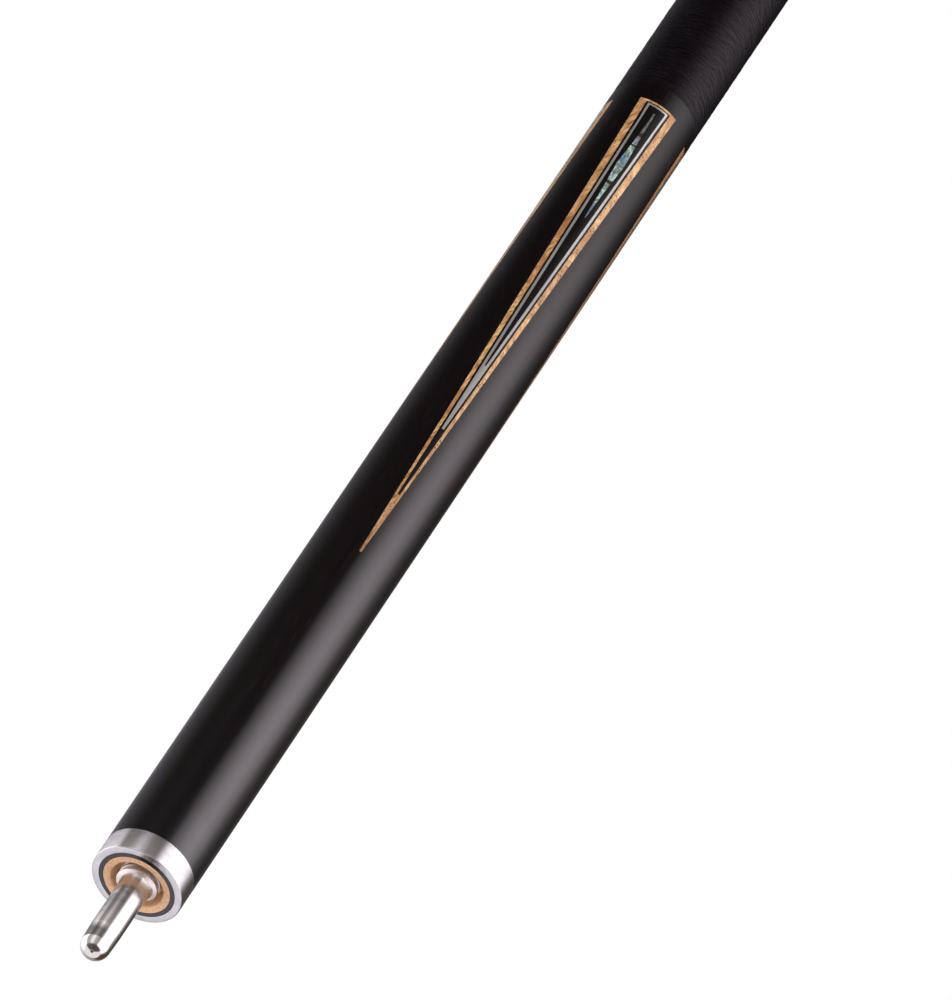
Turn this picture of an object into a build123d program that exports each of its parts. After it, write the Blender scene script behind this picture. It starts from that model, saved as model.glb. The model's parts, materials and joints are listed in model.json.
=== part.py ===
from build123d import *
import os
from math import radians, sin

# A two-piece pool cue, lying along the X axis with its shaft unscrewed and drawn off the joint.
# The origin is the centre of the bumper's flat end face and +X runs along the cue to the tip.
# +Z runs out of the crown of the first inlaid point. All sizes are in millimetres.

# ---- Driving dimensions ----
INCH = 25.4
BUTT_LENGTH = 29 * INCH             # bumper face to joint face
SHAFT_LENGTH = 29 * INCH            # joint face to the crown of the tip
JOINT_RADIUS = 10.75
BUTT_END_RADIUS = 15.875            # the butt's widest place, 1.25 inch across
DRAW_OFF = 75.0                     # gap between the two joint faces when the cue is apart

# ---- Joint, measured from the joint face back along the butt ----
STEEL_COLLAR_LENGTH = 6.0
STEEL_COLLAR_INNER = 9.04
COLLAR_EDGE = 0.3                   # chamfer round the face of each half's collar
PHENOLIC_COLLAR_END = 17.4
CORE_RADIUS = 7.92                  # maple core that runs the whole forearm
RECESS_LIP = 6.6                    # shallow bowl round the pin: lip, mouth and floor radii
RECESS_MOUTH = 6.3
RECESS_FLOOR = 5.4
RECESS_DEPTH = 3.2

# ---- Joint pin: 3/8-16 thread at the base, then a smooth pilot with a round nose ----
THREAD_PITCH = INCH / 16
PIN_THREAD_RADIUS = 3 * INCH / 16
PIN_THREAD_ROOT = 3.9
PIN_GROOVES = 2                     # turns of thread in the open bowl
PIN_GROOVE_WIDTH = 0.94             # across the groove's mouth
PIN_FLANK = 0.24                    # the thread has steep flanks and flat crests
PIN_FIRST_GROOVE = 0.91             # middle of the front groove, behind the joint face
PIN_ANCHOR_DEPTH = 38.0
PIN_THREAD_PROUD = 0.21             # how far the front crest stands out of the joint face
PIN_NECK_END = 3.2
PIN_PILOT_RADIUS = 3.5
PIN_PILOT_END = 15.3
PIN_NOSE_RADIUS = 3.35
PIN_LENGTH = 22.8

# ---- Forearm, handle and wrap ----
FOREARM_END = 319.5
STUD_RADIUS = 3 * INCH / 16
STUD_START = 290.0
STUD_END = 349.0
WRAP_END = 624.5
WRAP_THICKNESS = 0.8
TENON_RADIUS = 11.0                 # the handle's rear tenon, under the butt sleeve

# ---- Inlaid points: distance of tip and base from the joint face, and half widths round the arc ----
POINT_COUNT = 4
BURL_POINT = dict(tip=109.5, base=311.8, tip_half=0.28, base_half=5.85, depth=2.6)
BLACK_FIELD = dict(tip=132.2, base=311.0, tip_half=0.32, base_half=3.81, depth=2.0)
SILVER_BORDER = dict(tip=159.3, base=310.5, tip_half=0.30, base_half=3.25, depth=1.5)
EBONY_PANEL = dict(tip=186.6, base=309.8, tip_half=0.20, base_half=2.55, depth=1.1)
SPEAR_DEPTH = 0.7
SPEAR_OUTLINE = [(254.8, 0.2), (267.0, 0.42), (281.0, 1.12), (296.0, 0.45), (307.3, 0.2)]
CUTTER_HEIGHT = 8.0

# ---- Butt end, measured from the bumper's end face ----
BUMPER_LENGTH = 9.0
BUMPER_RADIUS = 12.2
BUMPER_ROUND = 2.2
SPIGOT_RADIUS = 7.0
SPIGOT_END = 20.0
SPIGOT_CLEARANCE = 0.3
HEAD_RECESS = 3.0                   # the screw's head sits this far inside the bumper
HEAD_RADIUS = 5.0
HEAD_HEIGHT = 4.0
HEAD_CLEARANCE = 0.3
HEX_ACROSS_FLATS = 5.0
HEX_DEPTH = 2.5
SCREW_RADIUS = 5 * INCH / 32        # 5/16 inch screw
SCREW_END = 37.0
SCREW_HOLE_CLEARANCE = 0.35
CAP_WEB_START = 20.5
CAP_END = 27.0
CAP_ROUND = 1.6
BUSHING_RADIUS = 8.0
BUSHING_LENGTH = 12.0
BUSHING_FIT = 0.05                  # running clearance over the screw
WEIGHT_BOLT_RADIUS = INCH / 4
WEIGHT_BOLT_START = 46.0
WEIGHT_BOLT_LENGTH = 60.0
WEIGHT_HEX = 6.0
WEIGHT_HEX_DEPTH = 7.0
SILVER_RING_WIDTH = 1.2
BURL_RING_WIDTH = 5.0

# ---- Shaft, measured from its joint face towards the tip ----
SHAFT_COLLAR_LENGTH = 10.0
SHAFT_TENON_RADIUS = 7.9
SHAFT_TENON_FIT = 0.05
INSERT_RADIUS = 6.0
INSERT_NOSE = 2.4                   # the insert's nose enters the bowl in the butt
INSERT_NOSE_RADIUS = 5.4
INSERT_LENGTH = 28.0
INSERT_THREAD_BORE = 4.92
INSERT_THREAD_BORE_END = 3.5
INSERT_PILOT_BORE = 3.56
INSERT_BORE_END = 25.0
TIP_RADIUS = 6.45                   # 12.9 mm tip
FERRULE_START = 704.8
FERRULE_TENON_RADIUS = 4.0
FERRULE_TENON_END = 722.0
PAD_START = 730.0
TIP_START = 730.8
TIP_SIDE_END = 733.4
SHAFT_TAPER = [(180.0, 8.55), (356.0, 7.0), (530.0, 6.55)]

# ---- Places worked out from the sizes above ----
JOINT_X = BUTT_LENGTH
SHAFT_X = JOINT_X + DRAW_OFF
TAPER = (BUTT_END_RADIUS - JOINT_RADIUS) / BUTT_LENGTH


def from_joint(distance):
    """The x of a place on the butt, given its distance from the joint face."""
    return JOINT_X - distance


def butt_radius(x):
    """The butt's outer radius, which grows evenly from the joint to the cap."""
    return JOINT_RADIUS + TAPER * (JOINT_X - x)


def turned(*points):
    """A solid turned about the cue's axis from a closed outline of (x, radius) points."""
    outline = Polyline(*[(x, 0, r) for x, r in points], close=True)
    return revolve(make_face(outline), Axis.X, 360)


def turned_edges(*edges):
    """A solid turned about the cue's axis from a closed outline of lines and curves."""
    return revolve(make_face(Wire(edges)), Axis.X, 360)


def sleeve(x_low, x_high, inner):
    """A ring that follows the butt's taper outside and has a plain bore."""
    return turned(
        (x_low, inner),
        (x_low, butt_radius(x_low)),
        (x_high, butt_radius(x_high)),
        (x_high, inner),
    )


def hex_socket(x_mouth, across_flats, depth):
    """The cutter for a hexagon socket that runs toward the tip from x_mouth."""
    corner_radius = across_flats / 2 / sin(radians(60))
    mouth = Plane(origin=(x_mouth, 0, 0), x_dir=(0, 1, 0), z_dir=(1, 0, 0))
    return extrude(mouth * RegularPolygon(corner_radius, 6), amount=depth)


# ---- Joint ----

def groove(middle):
    """The outline of one groove of the pin's thread, from back to front."""
    half = PIN_GROOVE_WIDTH / 2
    return [
        (middle - half, PIN_THREAD_RADIUS),
        (middle - half + PIN_FLANK, PIN_THREAD_ROOT),
        (middle + half - PIN_FLANK, PIN_THREAD_ROOT),
        (middle + half, PIN_THREAD_RADIUS),
    ]


def joint_pin():
    """Stainless pin: threaded shank, neck, smooth pilot and round nose."""
    anchor = from_joint(PIN_ANCHOR_DEPTH)
    thread_end = JOINT_X + PIN_THREAD_PROUD
    points = [(anchor, 0), (anchor, PIN_THREAD_RADIUS)]
    for number in reversed(range(PIN_GROOVES)):
        points += groove(from_joint(PIN_FIRST_GROOVE + number * THREAD_PITCH))
    points += [
        (thread_end, PIN_THREAD_RADIUS),
        (thread_end + PIN_FLANK, PIN_THREAD_ROOT),
        (JOINT_X + PIN_NECK_END, PIN_PILOT_RADIUS),
        (JOINT_X + PIN_PILOT_END, PIN_PILOT_RADIUS),
        (JOINT_X + PIN_LENGTH - PIN_NOSE_RADIUS, PIN_NOSE_RADIUS),
    ]
    outline = [(x, 0, r) for x, r in points]
    tip = (JOINT_X + PIN_LENGTH, 0, 0)
    return turned_edges(
        *[Line(outline[i], outline[i + 1]) for i in range(len(outline) - 1)],
        TangentArc(outline[-1], tip, tangent=(1, 0, 0)),
        Line(tip, outline[0]),
    )


def joint_collar():
    """Steel ring at the joint face."""
    return turned(
        (from_joint(STEEL_COLLAR_LENGTH), STEEL_COLLAR_INNER),
        (from_joint(STEEL_COLLAR_LENGTH), butt_radius(from_joint(STEEL_COLLAR_LENGTH))),
        (from_joint(COLLAR_EDGE), JOINT_RADIUS),
        (JOINT_X, JOINT_RADIUS - COLLAR_EDGE),
        (JOINT_X, STEEL_COLLAR_INNER),
    )


def phenolic_collar():
    """Black collar whose thin spigot carries the steel ring."""
    return turned(
        (from_joint(PHENOLIC_COLLAR_END), CORE_RADIUS),
        (from_joint(PHENOLIC_COLLAR_END), butt_radius(from_joint(PHENOLIC_COLLAR_END))),
        (from_joint(STEEL_COLLAR_LENGTH), butt_radius(from_joint(STEEL_COLLAR_LENGTH))),
        (from_joint(STEEL_COLLAR_LENGTH), STEEL_COLLAR_INNER),
        (JOINT_X, STEEL_COLLAR_INNER),
        (JOINT_X, CORE_RADIUS),
    )


def forearm_core():
    """Maple core of the forearm: holds the pin in front and the joining stud behind."""
    lip = RECESS_LIP - RECESS_MOUTH
    return turned(
        (from_joint(FOREARM_END), STUD_RADIUS),
        (from_joint(FOREARM_END), CORE_RADIUS),
        (JOINT_X, CORE_RADIUS),
        (JOINT_X, RECESS_LIP),
        (from_joint(lip), RECESS_MOUTH),
        (from_joint(RECESS_DEPTH), RECESS_FLOOR),
        (from_joint(RECESS_DEPTH), PIN_THREAD_RADIUS),
        (from_joint(PIN_ANCHOR_DEPTH), PIN_THREAD_RADIUS),
        (from_joint(PIN_ANCHOR_DEPTH), 0),
        (from_joint(STUD_START), 0),
        (from_joint(STUD_START), STUD_RADIUS),
    )


# ---- Forearm and its inlays ----

def crown_plane(distance, depth):
    """A plane parallel to the taper's crown line, at a depth under the surface."""
    x = from_joint(distance)
    return Plane(origin=(x, 0, butt_radius(x) - depth), x_dir=(1, 0, -TAPER), z_dir=(TAPER, 0, 1))


def flat_half_width(distance, arc_half_width):
    """The half width seen from above of a strip with the given half width round the arc."""
    radius = butt_radius(from_joint(distance))
    return radius * sin(arc_half_width / radius)


def inlay_cutter(outline, depth):
    """A flat-floored prism over an outline of (distance, half width) points, base first."""
    base = outline[0][0]
    one_side = [(base - d, flat_half_width(d, w)) for d, w in outline]
    other_side = [(u, -v) for u, v in reversed(one_side)]
    face = make_face(Polyline(*one_side, *other_side, close=True))
    return extrude(crown_plane(base, depth) * face, amount=CUTTER_HEIGHT)


def point_cutter(point):
    """The prism of a long tapered point with a blunt tip and a square base."""
    outline = [(point["base"], point["base_half"]), (point["tip"], point["tip_half"])]
    return inlay_cutter(outline, point["depth"])


def inlay_stack():
    """The five nested inlays of one point, outermost first, as (name, solid) pairs."""
    taper = sleeve(from_joint(FOREARM_END), from_joint(PHENOLIC_COLLAR_END), CORE_RADIUS)
    spear_outline = list(reversed(SPEAR_OUTLINE))
    cutters = [
        ("burl_point", point_cutter(BURL_POINT)),
        ("black_field", point_cutter(BLACK_FIELD)),
        ("silver_border", point_cutter(SILVER_BORDER)),
        ("ebony_panel", point_cutter(EBONY_PANEL)),
        ("abalone_spear", inlay_cutter(spear_outline, SPEAR_DEPTH)),
    ]
    stack = []
    for place, (name, cutter) in enumerate(cutters):
        inlay = taper & cutter
        if place + 1 < len(cutters):
            inlay = inlay - cutters[place + 1][1]
        stack.append((name, inlay))
    return stack


def forearm():
    """Dark hardwood forearm: a tapered sleeve on the core, with a pocket for each point."""
    body = sleeve(from_joint(FOREARM_END), from_joint(PHENOLIC_COLLAR_END), CORE_RADIUS)
    pocket = point_cutter(BURL_POINT)
    for number in range(POINT_COUNT):
        body = body - pocket.rotate(Axis.X, 360 / POINT_COUNT * number)
    return body


# ---- Handle and butt sleeve ----

def a_joint_stud():
    """Threaded stud that draws the forearm and the handle together."""
    return turned(
        (from_joint(STUD_END), 0),
        (from_joint(STUD_END), STUD_RADIUS),
        (from_joint(STUD_START), STUD_RADIUS),
        (from_joint(STUD_START), 0),
    )


def handle():
    """Maple handle under the wrap, with a rear tenon for the sleeve and a bore for the weight."""
    front = from_joint(FOREARM_END)
    shoulder = from_joint(WRAP_END)
    bushing_end = CAP_END + BUSHING_LENGTH
    bore_end = WEIGHT_BOLT_START + WEIGHT_BOLT_LENGTH
    return turned(
        (CAP_END, BUSHING_RADIUS),
        (CAP_END, TENON_RADIUS),
        (shoulder, TENON_RADIUS),
        (shoulder, butt_radius(shoulder) - WRAP_THICKNESS),
        (front, butt_radius(front) - WRAP_THICKNESS),
        (front, STUD_RADIUS),
        (from_joint(STUD_END), STUD_RADIUS),
        (from_joint(STUD_END), 0),
        (bore_end, 0),
        (bore_end, WEIGHT_BOLT_RADIUS),
        (bushing_end, WEIGHT_BOLT_RADIUS),
        (bushing_end, BUSHING_RADIUS),
    )


def leather_wrap():
    """Leather grip let in flush with the wood at both ends."""
    low = from_joint(WRAP_END)
    high = from_joint(FOREARM_END)
    return turned(
        (low, butt_radius(low) - WRAP_THICKNESS),
        (low, butt_radius(low)),
        (high, butt_radius(high)),
        (high, butt_radius(high) - WRAP_THICKNESS),
    )


def ring_set(x_low):
    """Two silver rings with a burl ring between them, as (kind, solid) pairs from x_low up."""
    silver_1 = x_low + SILVER_RING_WIDTH
    burl = silver_1 + BURL_RING_WIDTH
    silver_2 = burl + SILVER_RING_WIDTH
    return [
        ("silver_ring", sleeve(x_low, silver_1, TENON_RADIUS)),
        ("burl_ring", sleeve(silver_1, burl, TENON_RADIUS)),
        ("silver_ring", sleeve(burl, silver_2, TENON_RADIUS)),
    ]


RING_SET_WIDTH = 2 * SILVER_RING_WIDTH + BURL_RING_WIDTH
FRONT_RINGS_X = from_joint(WRAP_END) - RING_SET_WIDTH
REAR_RINGS_X = CAP_END


def butt_sleeve():
    """Dark hardwood sleeve between the two ring sets."""
    return sleeve(REAR_RINGS_X + RING_SET_WIDTH, FRONT_RINGS_X, TENON_RADIUS)


def butt_cap():
    """Black cap that closes the butt and carries the bumper's spigot."""
    corner = BUMPER_LENGTH + CAP_ROUND
    edge_radius = butt_radius(BUMPER_LENGTH)
    spigot_bore = SPIGOT_RADIUS + SPIGOT_CLEARANCE
    screw_hole = SCREW_RADIUS + SCREW_HOLE_CLEARANCE
    round_start = (BUMPER_LENGTH, 0, edge_radius - CAP_ROUND)
    round_end = (corner, 0, butt_radius(corner))
    return turned_edges(
        Line((BUMPER_LENGTH, 0, spigot_bore), round_start),
        TangentArc(round_start, round_end, tangent=(0, 0, 1)),
        Line(round_end, (CAP_END, 0, butt_radius(CAP_END))),
        Line((CAP_END, 0, butt_radius(CAP_END)), (CAP_END, 0, screw_hole)),
        Line((CAP_END, 0, screw_hole), (CAP_WEB_START, 0, screw_hole)),
        Line((CAP_WEB_START, 0, screw_hole), (CAP_WEB_START, 0, spigot_bore)),
        Line((CAP_WEB_START, 0, spigot_bore), (BUMPER_LENGTH, 0, spigot_bore)),
    )


def butt_bushing():
    """Brass bushing in the handle's end that the bumper screw runs into."""
    end = CAP_END + BUSHING_LENGTH
    return turned(
        (CAP_END, SCREW_RADIUS + BUSHING_FIT),
        (CAP_END, BUSHING_RADIUS),
        (end, BUSHING_RADIUS),
        (end, SCREW_RADIUS + BUSHING_FIT),
    )


def weight_bolt():
    """Steel weight bolt with a hexagon socket towards the butt end."""
    end = WEIGHT_BOLT_START + WEIGHT_BOLT_LENGTH
    bolt = turned(
        (WEIGHT_BOLT_START, 0),
        (WEIGHT_BOLT_START, WEIGHT_BOLT_RADIUS),
        (end, WEIGHT_BOLT_RADIUS),
        (end, 0),
    )
    return bolt - hex_socket(WEIGHT_BOLT_START, WEIGHT_HEX, WEIGHT_HEX_DEPTH)


def bumper():
    """Rubber bumper with a spigot, a counterbore for the screw's head and a through hole."""
    head_bore = HEAD_RADIUS + HEAD_CLEARANCE
    head_floor = HEAD_RECESS + HEAD_HEIGHT
    screw_hole = SCREW_RADIUS + SCREW_HOLE_CLEARANCE
    round_start = (0, 0, BUMPER_RADIUS - BUMPER_ROUND)
    round_end = (BUMPER_ROUND, 0, BUMPER_RADIUS)
    return turned_edges(
        Line((0, 0, head_bore), round_start),
        TangentArc(round_start, round_end, tangent=(0, 0, 1)),
        Line(round_end, (BUMPER_LENGTH, 0, BUMPER_RADIUS)),
        Line((BUMPER_LENGTH, 0, BUMPER_RADIUS), (BUMPER_LENGTH, 0, SPIGOT_RADIUS)),
        Line((BUMPER_LENGTH, 0, SPIGOT_RADIUS), (SPIGOT_END, 0, SPIGOT_RADIUS)),
        Line((SPIGOT_END, 0, SPIGOT_RADIUS), (SPIGOT_END, 0, screw_hole)),
        Line((SPIGOT_END, 0, screw_hole), (head_floor, 0, screw_hole)),
        Line((head_floor, 0, screw_hole), (head_floor, 0, head_bore)),
        Line((head_floor, 0, head_bore), (0, 0, head_bore)),
    )


def bumper_screw():
    """Socket-head screw that holds the bumper."""
    head_floor = HEAD_RECESS + HEAD_HEIGHT
    screw = turned(
        (HEAD_RECESS, 0),
        (HEAD_RECESS, HEAD_RADIUS),
        (head_floor, HEAD_RADIUS),
        (head_floor, SCREW_RADIUS),
        (SCREW_END, SCREW_RADIUS),
        (SCREW_END, 0),
    )
    return screw - hex_socket(HEAD_RECESS, HEX_ACROSS_FLATS, HEX_DEPTH)


# ---- Shaft ----

def shaft_collar():
    """Black ring at the shaft's joint face."""
    low = SHAFT_X
    return turned(
        (low, SHAFT_TENON_RADIUS + SHAFT_TENON_FIT),
        (low, JOINT_RADIUS - COLLAR_EDGE),
        (low + COLLAR_EDGE, JOINT_RADIUS),
        (low + SHAFT_COLLAR_LENGTH, JOINT_RADIUS),
        (low + SHAFT_COLLAR_LENGTH, SHAFT_TENON_RADIUS + SHAFT_TENON_FIT),
    )


def shaft_insert():
    """Brass insert: its nose takes the pin's thread and its long bore takes the pilot."""
    return turned(
        (SHAFT_X - INSERT_NOSE, INSERT_THREAD_BORE),
        (SHAFT_X - INSERT_NOSE, INSERT_NOSE_RADIUS),
        (SHAFT_X, INSERT_RADIUS),
        (SHAFT_X + INSERT_LENGTH, INSERT_RADIUS),
        (SHAFT_X + INSERT_LENGTH, 0),
        (SHAFT_X + INSERT_BORE_END, 0),
        (SHAFT_X + INSERT_BORE_END, INSERT_PILOT_BORE),
        (SHAFT_X + INSERT_THREAD_BORE_END, INSERT_PILOT_BORE),
        (SHAFT_X + INSERT_THREAD_BORE_END, INSERT_THREAD_BORE),
    )


def shaft():
    """Maple shaft: steep taper behind the joint, then nearly straight up to the ferrule."""
    collar_end = SHAFT_X + SHAFT_COLLAR_LENGTH
    ferrule_x = SHAFT_X + FERRULE_START
    tenon_end = SHAFT_X + FERRULE_TENON_END
    insert_end = SHAFT_X + INSERT_LENGTH
    taper_start = (collar_end, 0, JOINT_RADIUS)
    taper_points = [(SHAFT_X + t, 0, r) for t, r in SHAFT_TAPER]
    taper_end = (ferrule_x, 0, TIP_RADIUS)
    return turned_edges(
        Line((insert_end, 0, 0), (insert_end, 0, INSERT_RADIUS)),
        Line((insert_end, 0, INSERT_RADIUS), (SHAFT_X, 0, INSERT_RADIUS)),
        Line((SHAFT_X, 0, INSERT_RADIUS), (SHAFT_X, 0, SHAFT_TENON_RADIUS)),
        Line((SHAFT_X, 0, SHAFT_TENON_RADIUS), (collar_end, 0, SHAFT_TENON_RADIUS)),
        Line((collar_end, 0, SHAFT_TENON_RADIUS), taper_start),
        Spline(taper_start, *taper_points, taper_end),
        Line(taper_end, (ferrule_x, 0, FERRULE_TENON_RADIUS)),
        Line((ferrule_x, 0, FERRULE_TENON_RADIUS), (tenon_end, 0, FERRULE_TENON_RADIUS)),
        Line((tenon_end, 0, FERRULE_TENON_RADIUS), (tenon_end, 0, 0)),
        Line((tenon_end, 0, 0), (insert_end, 0, 0)),
    )


def ferrule():
    """White ferrule, a cup over the shaft's front tenon."""
    return turned(
        (SHAFT_X + FERRULE_START, FERRULE_TENON_RADIUS),
        (SHAFT_X + FERRULE_START, TIP_RADIUS),
        (SHAFT_X + PAD_START, TIP_RADIUS),
        (SHAFT_X + PAD_START, 0),
        (SHAFT_X + FERRULE_TENON_END, 0),
        (SHAFT_X + FERRULE_TENON_END, FERRULE_TENON_RADIUS),
    )


def tip_pad():
    """Thin fibre pad between the ferrule and the tip."""
    return turned(
        (SHAFT_X + PAD_START, 0),
        (SHAFT_X + PAD_START, TIP_RADIUS),
        (SHAFT_X + TIP_START, TIP_RADIUS),
        (SHAFT_X + TIP_START, 0),
    )


def cue_tip():
    """Domed leather tip."""
    side_end = (SHAFT_X + TIP_SIDE_END, 0, TIP_RADIUS)
    crown = (SHAFT_X + SHAFT_LENGTH, 0, 0)
    base_x = SHAFT_X + TIP_START
    return turned_edges(
        Line((base_x, 0, 0), (base_x, 0, TIP_RADIUS)),
        Line((base_x, 0, TIP_RADIUS), side_end),
        TangentArc(crown, side_end, tangent=(0, 0, 1)),
        Line(crown, (base_x, 0, 0)),
    )


# ---- Every node of the cue ----

def all_nodes():
    """Every sub-part as a dictionary of node name to solid."""
    nodes = {
        "joint_pin": joint_pin(),
        "joint_collar": joint_collar(),
        "phenolic_collar": phenolic_collar(),
        "forearm_core": forearm_core(),
        "forearm": forearm(),
        "a_joint_stud": a_joint_stud(),
        "handle": handle(),
        "leather_wrap": leather_wrap(),
        "butt_sleeve": butt_sleeve(),
        "butt_cap": butt_cap(),
        "butt_bushing": butt_bushing(),
        "weight_bolt": weight_bolt(),
        "bumper": bumper(),
        "bumper_screw": bumper_screw(),
        "shaft_collar": shaft_collar(),
        "shaft_insert": shaft_insert(),
        "shaft": shaft(),
        "ferrule": ferrule(),
        "tip_pad": tip_pad(),
        "cue_tip": cue_tip(),
    }
    for name, inlay in inlay_stack():
        for number in range(POINT_COUNT):
            turned_inlay = inlay.rotate(Axis.X, 360 / POINT_COUNT * number)
            nodes[f"{name}_{number + 1}"] = turned_inlay
    count = {"silver_ring": 0, "burl_ring": 0}
    for kind, ring in ring_set(REAR_RINGS_X) + ring_set(FRONT_RINGS_X):
        count[kind] += 1
        nodes[f"{kind}_{count[kind]}"] = ring
    return nodes


os.makedirs("parts", exist_ok=True)
for node, solid in all_nodes().items():
    solid.label = node
    export_step(solid, f"parts/{node}.step")
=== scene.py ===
import json
import math

import bpy
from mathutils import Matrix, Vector, noise


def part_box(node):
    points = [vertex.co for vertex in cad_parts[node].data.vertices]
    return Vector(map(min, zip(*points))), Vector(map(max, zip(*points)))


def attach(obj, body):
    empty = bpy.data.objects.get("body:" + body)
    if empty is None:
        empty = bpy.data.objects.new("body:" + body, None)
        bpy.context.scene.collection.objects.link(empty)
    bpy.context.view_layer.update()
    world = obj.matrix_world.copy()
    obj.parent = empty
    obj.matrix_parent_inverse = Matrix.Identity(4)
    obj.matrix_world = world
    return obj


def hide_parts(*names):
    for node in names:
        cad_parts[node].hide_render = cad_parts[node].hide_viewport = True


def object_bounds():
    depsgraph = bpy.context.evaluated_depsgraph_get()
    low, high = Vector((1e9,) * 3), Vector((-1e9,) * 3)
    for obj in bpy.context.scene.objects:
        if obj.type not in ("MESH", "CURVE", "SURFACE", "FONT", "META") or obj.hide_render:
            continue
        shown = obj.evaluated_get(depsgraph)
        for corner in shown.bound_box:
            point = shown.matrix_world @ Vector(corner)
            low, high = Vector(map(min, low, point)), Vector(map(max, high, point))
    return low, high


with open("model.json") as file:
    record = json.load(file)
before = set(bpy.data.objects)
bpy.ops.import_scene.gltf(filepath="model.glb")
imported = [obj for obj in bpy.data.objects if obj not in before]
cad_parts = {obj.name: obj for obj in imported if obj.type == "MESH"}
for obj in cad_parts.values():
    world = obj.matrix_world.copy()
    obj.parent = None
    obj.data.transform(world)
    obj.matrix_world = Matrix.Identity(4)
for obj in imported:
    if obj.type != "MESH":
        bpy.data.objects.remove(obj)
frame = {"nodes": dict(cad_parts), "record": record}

CAD_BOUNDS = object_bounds()

MM = 0.001
PER_MM = 1 / MM
TURN = 2 * math.pi

BOXES = {}


def box(node_name):
    """A CAD node's lowest and highest corner, measured once."""
    if node_name not in BOXES:
        BOXES[node_name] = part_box(node_name)
    return BOXES[node_name]


def span(node_name):
    """The x of a CAD node's two ends."""
    low, high = box(node_name)
    return low.x, high.x


# ---- places read from the frame, in metres

JOINT_X = box("joint_collar")[1].x
SHAFT_X = box("shaft_collar")[0].x
TIP_X = box("cue_tip")[1].x
FOREARM_LOW, FOREARM_HIGH = span("forearm")
WRAP_LOW, WRAP_HIGH = span("leather_wrap")
WRAP_END_RADIUS = box("leather_wrap")[1].z
FOREARM_END_RADIUS = box("forearm")[1].z
TAPER = (WRAP_END_RADIUS - FOREARM_END_RADIUS) / (FOREARM_LOW - WRAP_LOW)
CORE_RADIUS = 7.92 * MM
WRAP_THICKNESS = 0.8 * MM
TENON_RADIUS = 11.0 * MM


def butt_radius(x):
    """The butt's outer radius, which grows evenly towards the cap."""
    return FOREARM_END_RADIUS + TAPER * (FOREARM_LOW - x)


# ---- camera, floor and light

CAMERA_FROM_JOINT = Vector((0.52295, 0.00869, 0.65532))
CAMERA_ANGLES = (40.771, -23.641, 114.303)
CAMERA_LENS = 139.4
SENSOR_WIDTH = 36.0
FLOOR_BELOW = 0.4
FLOOR_HALF_SIZE = 30.0

# The studio is described round the cue's axis: (degrees from +Z towards +Y, brightness, colour),
# for light that comes from far behind the butt, from the side, and from in front of the joint.
PINK = (1.0, 0.935, 0.985)
LAVENDER = (0.98, 0.94, 1.0)
WARM = (1.0, 0.92, 0.87)
RUST = (1.0, 0.62, 0.45)
BEHIND = [
    (-180, 0.75, PINK), (-161, 0.40, LAVENDER), (-141, 0.28, LAVENDER), (-121, 0.26, LAVENDER),
    (-101, 0.18, LAVENDER), (-81, 0.08, WARM), (-61, 0.04, WARM), (-41, 0.035, WARM), (-21, 0.03, WARM),
    (-8, 0.06, PINK), (-1, 0.17, PINK), (6, 0.35, PINK), (12, 1.50, PINK), (18, 1.95, PINK),
    (39, 4.1, PINK), (59, 4.5, PINK), (79, 2.6, PINK), (99, 0.6, PINK), (119, 0.13, WARM),
    (139, 0.08, WARM), (159, 0.15, WARM),
    (172, 0.20, WARM), (180, 0.25, WARM),
]
BESIDE = [
    (-180, 0.6, LAVENDER), (-150, 1.1, LAVENDER), (-130, 2.3, LAVENDER), (-90, 2.3, LAVENDER),
    (-80, 0.7, WARM), (-60, 0.8, WARM), (-41, 1.8, PINK), (-22, 0.75, WARM), (0, 0.5, WARM),
    (10, 1.6, PINK), (16, 2.6, PINK), (60, 2.6, PINK), (86, 2.4, PINK), (98, 0.5, WARM),
    (110, 0.12, RUST), (145, 0.14, RUST), (165, 0.5, WARM), (180, 0.6, LAVENDER),
]
IN_FRONT = [
    (-180, 1.4, LAVENDER), (-98, 1.4, LAVENDER), (-88, 0.2, WARM), (0, 0.12, WARM), (62, 0.15, WARM),
    (78, 1.4, LAVENDER), (180, 1.4, LAVENDER),
]
STUDIO_PEAK = 4.6
# How far along the cue, from -1 behind the butt to 1 in front of the joint, each part reaches
BESIDE_START = (-0.58, -0.50)
FRONT_START = (0.45, 0.60)
STRAIGHT_AHEAD = (0.97, 0.995)
AHEAD_COLOUR = (0.3, 0.28, 0.29)
# Light from the -Y side never fades below a share: where that side begins, in degrees, and the share
STEADY_SIDE = (-75, -120)
STEADY_SHARE = 0.5
# The rest of the light from behind fades towards the far end of the butt: (place along the cue,
# share left), from -1 to FADE_SPAN further
FADE_SPAN = 0.5
BEHIND_FADE = [
    (-1.0, 0.03), (-0.86, 0.05), (-0.80, 0.09), (-0.782, 0.13), (-0.763, 0.23), (-0.741, 0.37),
    (-0.716, 0.53), (-0.700, 0.64), (-0.677, 0.78), (-0.650, 0.93), (-0.60, 1.0),
]


def make_camera():
    data = bpy.data.cameras.new("camera")
    data.lens = CAMERA_LENS
    data.sensor_width = SENSOR_WIDTH
    camera = bpy.data.objects.new("camera", data)
    camera.location = Vector((JOINT_X, 0, 0)) + CAMERA_FROM_JOINT
    camera.rotation_euler = [math.radians(a) for a in CAMERA_ANGLES]
    bpy.context.scene.collection.objects.link(camera)
    bpy.context.scene.camera = camera


# ---- node helpers

def node(tree, kind, inputs=None, **settings):
    """Adds a node. inputs maps a socket's name or number to a value or to another node's output."""
    made = tree.nodes.new(kind)
    for name, value in settings.items():
        setattr(made, name, value)
    for name, value in (inputs or {}).items():
        if isinstance(value, bpy.types.NodeSocket):
            tree.links.new(value, made.inputs[name])
        else:
            made.inputs[name].default_value = value
    return made


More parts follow.
